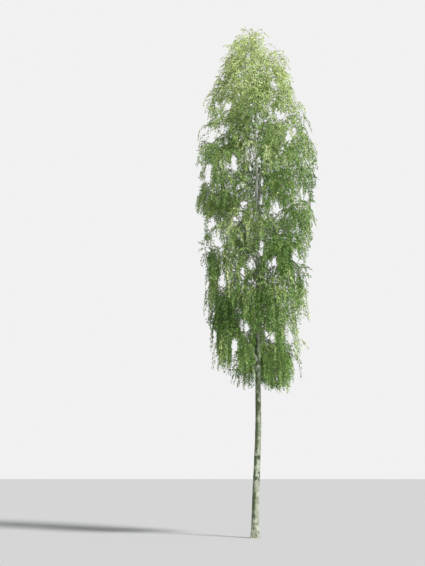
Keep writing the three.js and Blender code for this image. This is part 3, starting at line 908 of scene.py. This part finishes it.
# A mesh of bare edges, one run for each path, with the thickness at each point: what the nodes
# below turn into wood.
def edge_mesh(name, paths, thicknesses):
    starts = np.cumsum([0] + [len(path) for path in paths])
    edges = [(k, k + 1) for a, b in zip(starts, starts[1:]) for k in range(a, b - 1)]
    mesh = bpy.data.meshes.new(name)
    mesh.from_pydata(np.concatenate(paths).tolist(), edges, [])
    store(mesh, "thickness", np.concatenate(thicknesses))
    return mesh


# The plain object that a geometry tree makes from a mesh.
def grown(name, mesh, tree, settings):
    carrier = placed(name + "_carrier", mesh)
    modifier = carrier.modifiers.new("growth", "NODES")
    modifier.node_group = tree
    for item in tree.interface.items_tree:
        if item.in_out == "INPUT" and item.name in settings:
            modifier[item.identifier] = settings[item.name]
    shaped = carrier.evaluated_get(bpy.context.evaluated_depsgraph_get())
    result = bpy.data.meshes.new_from_object(shaped)
    carrier.modifiers.clear()
    bpy.data.objects.remove(carrier)
    return placed(name, result)


wood_tree, given, wood_out = new_tree(
    "wood_on_paths",
    "GeometryNodeTree",
    {"Paths": "Geometry", "Sides": "Int", "Bark": "Material"},
    {"Wood": "Geometry"},
)
curves = add_node(wood_tree, "GeometryNodeMeshToCurve", {0: given["Paths"]}).outputs[0]
round_section = {"Resolution": given["Sides"], "Radius": 1.0}
section = add_node(wood_tree, "GeometryNodeCurvePrimitiveCircle", round_section)
named = {"Name": "thickness"}
thickness = add_node(wood_tree, "GeometryNodeInputNamedAttribute", named, data_type="FLOAT")
tubes = {"Curve": curves, "Profile Curve": section.outputs[0], "Scale": thickness.outputs[0]}
tubes = add_node(wood_tree, "GeometryNodeCurveToMesh", {**tubes, "Fill Caps": True}).outputs[0]
tubes = add_node(wood_tree, "GeometryNodeRealizeInstances", {0: tubes}).outputs[0]
tubes = add_node(wood_tree, "GeometryNodeSetMaterial", {"Geometry": tubes, "Material": given["Bark"]})
wood_tree.links.new(tubes.outputs[0], wood_out["Wood"])


# One plain colour, with a fine grain in its gloss and in its surface. A skin says how it shines, the
# size and detail of the first grain and the roughness it spans, and the same of the second with the
# strength and height of its relief.
def grained_material(name, colour, skin):
    material, tree, shader, place = new_material(name)
    shader.inputs["Base Color"].default_value = (*colour, 1)
    shader.inputs["Specular IOR Level"].default_value = skin["shine"]
    size, detail, smoothest, roughest = skin["gloss"]
    gloss = level_grain(tree, place, size, size, detail)
    rough = {"Value": gloss, "To Min": smoothest, "To Max": roughest}
    size, detail, strength, height = skin["relief"]
    relief = level_grain(tree, place, size, size, detail)
    bump = {"Strength": strength, "Distance": height, "Height": relief}
    for kind, inputs, socket in (("MapRange", rough, "Roughness"), ("Bump", bump, "Normal")):
        made = add_node(tree, "ShaderNode" + kind, inputs)
        tree.links.new(made.outputs[0], shader.inputs[socket])
    return material


WARTY_SKIN = {"shine": 0.5, "gloss": (0.004, 3.0, 0.45, 0.85), "relief": (0.004, 3.0, 0.5, 0.0006)}
BRANCH_BROWN = (0.16, 0.11, 0.085)
BRANCH_SIDES = 5


def grow_wood(name, paths, radii, sides, material):
    carriers = edge_mesh(name + "_paths", paths, radii)
    piece = grown(name, carriers, wood_tree, {"Sides": sides, "Bark": material})
    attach(piece, "root")
    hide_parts(*foliage_nodes)


paths = [branch["path"] for branch in branches]
radii = [np.linspace(branch["radius"], END_RADIUS, len(branch["path"])) for branch in branches]
branch_skin = grained_material("branch_brown", BRANCH_BROWN, WARTY_SKIN)
grow_wood("branches", paths, radii, BRANCH_SIDES, branch_skin)


# Shoots: the thin brown ends of the branches, which carry the leaves. A shoot's height, how far out it
# stands, its clump and chance settle the green of its leaves, with painted light high and outside and
# painted shade low.
TINTS = 6
HEIGHT_LIGHT_LEVELS = [4.0, 5.0, 6.6, 8.2, 9.6, 10.8, 12.2, 13.6]
HEIGHT_LIGHT_TONES = [4.3, 4.0, 4.2, 3.8, 4.8, 2.8, 1.1, -0.5]  # counted from the palest tint: painted light at the top, painted shade lower down
OUTER_PAINTED_LIGHT = 0.6  # tints from the middle of the crown to its outside: painted light on the outer sprays
SUNLIT_SHARE = 0.14  # of the branches, which are paler than their height makes them
SUNLIT_PALER = 2.0
SUNLIT_CYCLES = 7  # over the tones, so that all of them have some
TONE_RANGE, TOP_TONE_RANGE = 4.4, 2.0  # tints between the palest and the deepest clump of one height
EVEN_FROM, EVEN_TO = 9.0, 11.0  # where the range narrows to that of the top
SHOOT_TONES = 2.2  # tints by which the shoots of one branch differ
TWIGGY_SPRIG = (0.72, 13.1, 0.3, 0.36)  # nearly bare twigs at the upper right, as the gaps are given
TWIGGY_BARE = 0.6  # share of its shoots without leaves
SHOOT_BROWN = (0.20, 0.13, 0.09)
SHOOT_SIDES = 3
sprig_across, sprig_up, sprig_wide, sprig_tall = TWIGGY_SPRIG
shoots = [[] for _ in range(TINTS)]
tint_nodes = [set() for _ in range(TINTS)]
bare_shoots = []
random = seeded(SEED + 800)
for branch in branches:
    end = branch["path"][-1]
    outward = np.linalg.norm((end - trunk_centre(end[2]))[:2]) / crown_radius(end[2])
    # Painted light and shade: paler high in the crown and on its outside, deeper low and within.
    tone = np.interp(end[2], HEIGHT_LIGHT_LEVELS, HEIGHT_LIGHT_TONES) - OUTER_PAINTED_LIGHT * (outward - 0.5)
    tone_range = lerp(TONE_RANGE, TOP_TONE_RANGE, smoothstep(end[2], EVEN_FROM, EVEN_TO))
    tone += tone_range * (branch["tone"] - 0.5)
    if (SUNLIT_CYCLES * branch["tone"]) % 1 < SUNLIT_SHARE:
        tone -= SUNLIT_PALER
    for shoot in branch["shoots"]:
        tip = shoot[-1]
        out = math.hypot((tip[0] - sprig_across) / sprig_wide, (tip[2] - sprig_up) / sprig_tall)
        if out < 1 and random() < TWIGGY_BARE:
            bare_shoots.append(shoot)
            continue
        tint = int(np.clip(tone + SHOOT_TONES * (random() - 0.5), 0, TINTS - 1))
        shoots[tint].append(shoot)
        tint_nodes[tint].add(branch["node"])

shoot_skin = grained_material("shoot_brown", SHOOT_BROWN, WARTY_SKIN)
all_shoots = [shoot for group in [*shoots, bare_shoots] for shoot in group]
half = len(all_shoots) // 2
for name, group in (("shoots_upper", all_shoots[:half]), ("shoots_lower", all_shoots[half:])):
    radii = [np.linspace(SHOOT_RADIUS, SHOOT_END_RADIUS, len(shoot)) for shoot in group]
    grow_wood(name, group, radii, SHOOT_SIDES, shoot_skin)


# Leaves: small pointed blades, widest below the middle and folded along the midrib, each on a thin
# stalk. They leave a shoot in turn to its two sides and hang, in six greens dealt out by shoot, pale
# with painted light at the sunlit top and deeper with painted shade below.
LEAF_LENGTH = 0.054
SMALLEST_LEAF, LARGEST_LEAF = 0.7, 1.15  # of that length
LEAF_SPACING = 0.027
STALK = 0.3  # of the leaf's length
STALK_HALF = 0.011
LEAF_MIDDLE = 0.4
LEAF_OUTLINE = [(0.36, 0.2), (0.2, 0.58)]  # half width and distance, of its length
LEAF_FOLD = 0.4
LEAF_DROOP = 0.2
MIDDLE_DROOP = 0.2  # of that, at the leaf's middle
FORWARD, SIDEWAYS = 0.5, 0.8  # the shoot's own way and its side, in the way a leaf points
HANG_LOW, HANG_HIGH = (-0.6, -0.6, -1.1), (0.6, 0.6, 0.1)  # what chance adds to that
FACE_LOW, FACE_HIGH = (-1.0, -1.0, -0.2), (1.0, 1.0, 1.4)  # where its upper face looks
MOST_STEPS = 7500  # of shoot in one piece of leaves, to keep it under 200,000 triangles
LEAF_GREENS = [
    (0.74, 0.87, 0.38),
    (0.53, 0.69, 0.24),
    (0.32, 0.48, 0.135),
    (0.235, 0.40, 0.095),
    (0.175, 0.33, 0.07),
    (0.115, 0.24, 0.045),
]
LEAF_SKIN = {"shine": 0.35, "gloss": (0.02, 2.0, 0.35, 0.65), "relief": (0.006, 1.0, 0.35, 0.0008)}

stalk_end = (0, STALK, 0)
middle = (0, STALK + LEAF_MIDDLE, -MIDDLE_DROOP * LEAF_DROOP)
point = (0, STALK + 1, -LEAF_DROOP)
leaf_points = [(-STALK_HALF, 0, 0), (STALK_HALF, 0, 0), stalk_end, middle, point]
leaf_faces = [(0, 1, 2)]
for mirror in (1, -1):
    first = len(leaf_points)
    for wide, far in LEAF_OUTLINE:
        leaf_points.append((mirror * wide, STALK + far, LEAF_FOLD * wide - LEAF_DROOP * far**2))
    rim = [2, *range(first, first + len(LEAF_OUTLINE)), 4]
    for a, b in zip(rim, rim[1:]):
        leaf_faces.append((a, b, 3) if mirror > 0 else (b, a, 3))
leaf_shape = mesh_object("leaf_shape", leaf_points, leaf_faces)

leaf_tree, given, leaf_out = new_tree(
    "leaves_on_shoots",
    "GeometryNodeTree",
    {
        "Shoots": "Geometry",
        "Leaf": "Object",
        "Length": "Float",
        "Spacing": "Float",
        "Seed": "Int",
        "Green": "Material",
    },
    {"Leaves": "Geometry"},
)


def scaled(tree, vector, size):
    inputs = {0: vector, "Scale": size}
    return add_node(tree, "ShaderNodeVectorMath", inputs, operation="SCALE").outputs[0]


def random_vector(tree, seed, low, high):
    inputs = {0: low, 1: high, "Seed": seed}
    return add_node(tree, "FunctionNodeRandomValue", inputs, data_type="FLOAT_VECTOR").outputs[0]


curves = add_node(leaf_tree, "GeometryNodeMeshToCurve", {0: given["Shoots"]}).outputs[0]
spaced = {"Curve": curves, "Length": given["Spacing"]}
places = add_node(leaf_tree, "GeometryNodeCurveToPoints", spaced, mode="LENGTH")
index = add_node(leaf_tree, "GeometryNodeInputIndex").outputs[0]
parity = calculated(leaf_tree, "MODULO", index, 2.0)
hand = calculated(leaf_tree, "SUBTRACT", calculated(leaf_tree, "MULTIPLY", parity, 2.0), 1.0)
sideways = scaled(leaf_tree, places.outputs["Normal"], hand)
way = scaled(leaf_tree, places.outputs["Tangent"], FORWARD)
sideways = scaled(leaf_tree, sideways, SIDEWAYS)
hanging = random_vector(leaf_tree, given["Seed"], HANG_LOW, HANG_HIGH)
for term in (sideways, hanging):
    way = add_node(leaf_tree, "ShaderNodeVectorMath", {0: way, 1: term}, operation="ADD").outputs[0]
other_seed = calculated(leaf_tree, "ADD", given["Seed"], 1.0)
facing = random_vector(leaf_tree, other_seed, FACE_LOW, FACE_HIGH)
turned = add_node(
    leaf_tree, "FunctionNodeAxesToRotation", {0: way, 1: facing}, primary_axis="Y", secondary_axis="Z"
)
sizes = {2: SMALLEST_LEAF, 3: LARGEST_LEAF, "Seed": given["Seed"]}
size = add_node(leaf_tree, "FunctionNodeRandomValue", sizes, data_type="FLOAT")
leaf = add_node(leaf_tree, "GeometryNodeObjectInfo", {"Object": given["Leaf"]})
instances = {
    "Points": places.outputs["Points"],
    "Instance": leaf.outputs["Geometry"],
    "Rotation": turned.outputs[0],
    "Scale": calculated(leaf_tree, "MULTIPLY", size.outputs[1], given["Length"]),
}
leaves = add_node(leaf_tree, "GeometryNodeInstanceOnPoints", instances).outputs[0]
leaves = add_node(leaf_tree, "GeometryNodeRealizeInstances", {0: leaves}).outputs[0]
leaves = add_node(leaf_tree, "GeometryNodeSetMaterial", {"Geometry": leaves, "Material": given["Green"]})
leaf_tree.links.new(leaves.outputs[0], leaf_out["Leaves"])


for tint, (group, green) in enumerate(zip(shoots, LEAF_GREENS)):
    material = grained_material(f"leaf_green_{tint + 1}", green, LEAF_SKIN)
    parts = math.ceil(sum(len(shoot) for shoot in group) / MOST_STEPS)
    for part in range(parts):
        name = f"leaves_{tint + 1}" + "abcd"[part] * (parts > 1)
        share = group[part::parts]
        settings = {
            "Leaf": leaf_shape,
            "Length": LEAF_LENGTH,
            "Spacing": LEAF_SPACING,
            "Seed": SEED + 10 * tint + part,
            "Green": material,
        }
        carriers = edge_mesh(name + "_paths", share, [np.zeros(len(shoot)) for shoot in share])
        leaves = grown(name, carriers, leaf_tree, settings)
        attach(leaves, "root")
        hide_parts(*sorted(tint_nodes[tint]))
bpy.data.objects.remove(leaf_shape)


# Studio: a plain pale floor, an even pale sky, one broad soft lamp from the upper right front, and
# the camera low and well back, tipped up as the tree was seen.
FLOOR_HALF = 400.0
FLOOR_GREY, FLOOR_ROUGHNESS = (0.74, 0.74, 0.73), 0.9
SKY_BLUE, SKY_LIGHT = (0.95, 0.97, 1.0), 0.3
BACKDROP_WHITE, BACKDROP_LIGHT = (1.0, 1.0, 1.0), 0.88
LAMP_POWER = 3.15
LAMP_WIDTH = 14  # degrees that it fills in the sky
LAMP_TILT, LAMP_BEARING = 50, 46
FOCAL_LENGTH = 70.0
CAMERA_PITCH, CAMERA_BEARING = 9.89, 2.16
corners = [(x * FLOOR_HALF, y * FLOOR_HALF, 0) for x, y in ((-1, -1), (1, -1), (1, 1), (-1, 1))]
floor = mesh_object("floor", corners, [(0, 1, 2, 3)])
floor_material = bpy.data.materials.new("pale_floor")
floor_material.use_nodes = True
floor_shader = floor_material.node_tree.nodes["Principled BSDF"]
floor_shader.inputs["Base Color"].default_value = (*FLOOR_GREY, 1)
floor_shader.inputs["Roughness"].default_value = FLOOR_ROUGHNESS
floor.data.materials.append(floor_material)

world = bpy.data.worlds.new("pale_sky")
world.use_nodes = True
sky_tree = world.node_tree
light = sky_tree.nodes["Background"]
light.inputs["Color"].default_value = (*SKY_BLUE, 1)
light.inputs["Strength"].default_value = SKY_LIGHT
backdrop = {"Color": (*BACKDROP_WHITE, 1), "Strength": BACKDROP_LIGHT}
backdrop = add_node(sky_tree, "ShaderNodeBackground", backdrop).outputs[0]
seen = add_node(sky_tree, "ShaderNodeLightPath").outputs["Is Camera Ray"]
both = add_node(sky_tree, "ShaderNodeMixShader", {0: seen, 1: light.outputs[0], 2: backdrop})
sky_tree.links.new(both.outputs[0], sky_tree.nodes["World Output"].inputs[0])
scene = bpy.context.scene
scene.world = world
scene.view_settings.view_transform = "Standard"

lamp_data = bpy.data.lights.new("soft_lamp", "SUN")
lamp_data.energy = LAMP_POWER
lamp_data.angle = math.radians(LAMP_WIDTH)
lamp = placed("soft_lamp", lamp_data)
lamp.rotation_euler = (math.radians(LAMP_TILT), 0, math.radians(LAMP_BEARING))

camera_data = bpy.data.cameras.new("front_camera")
camera_data.lens = FOCAL_LENGTH
camera_data.clip_end = 2000
camera = placed("front_camera", camera_data)
camera.location = (0, -EYE_DISTANCE, EYE_HEIGHT)
camera.rotation_euler = (math.radians(90 + CAMERA_PITCH), 0, math.radians(CAMERA_BEARING))
scene.camera = camera
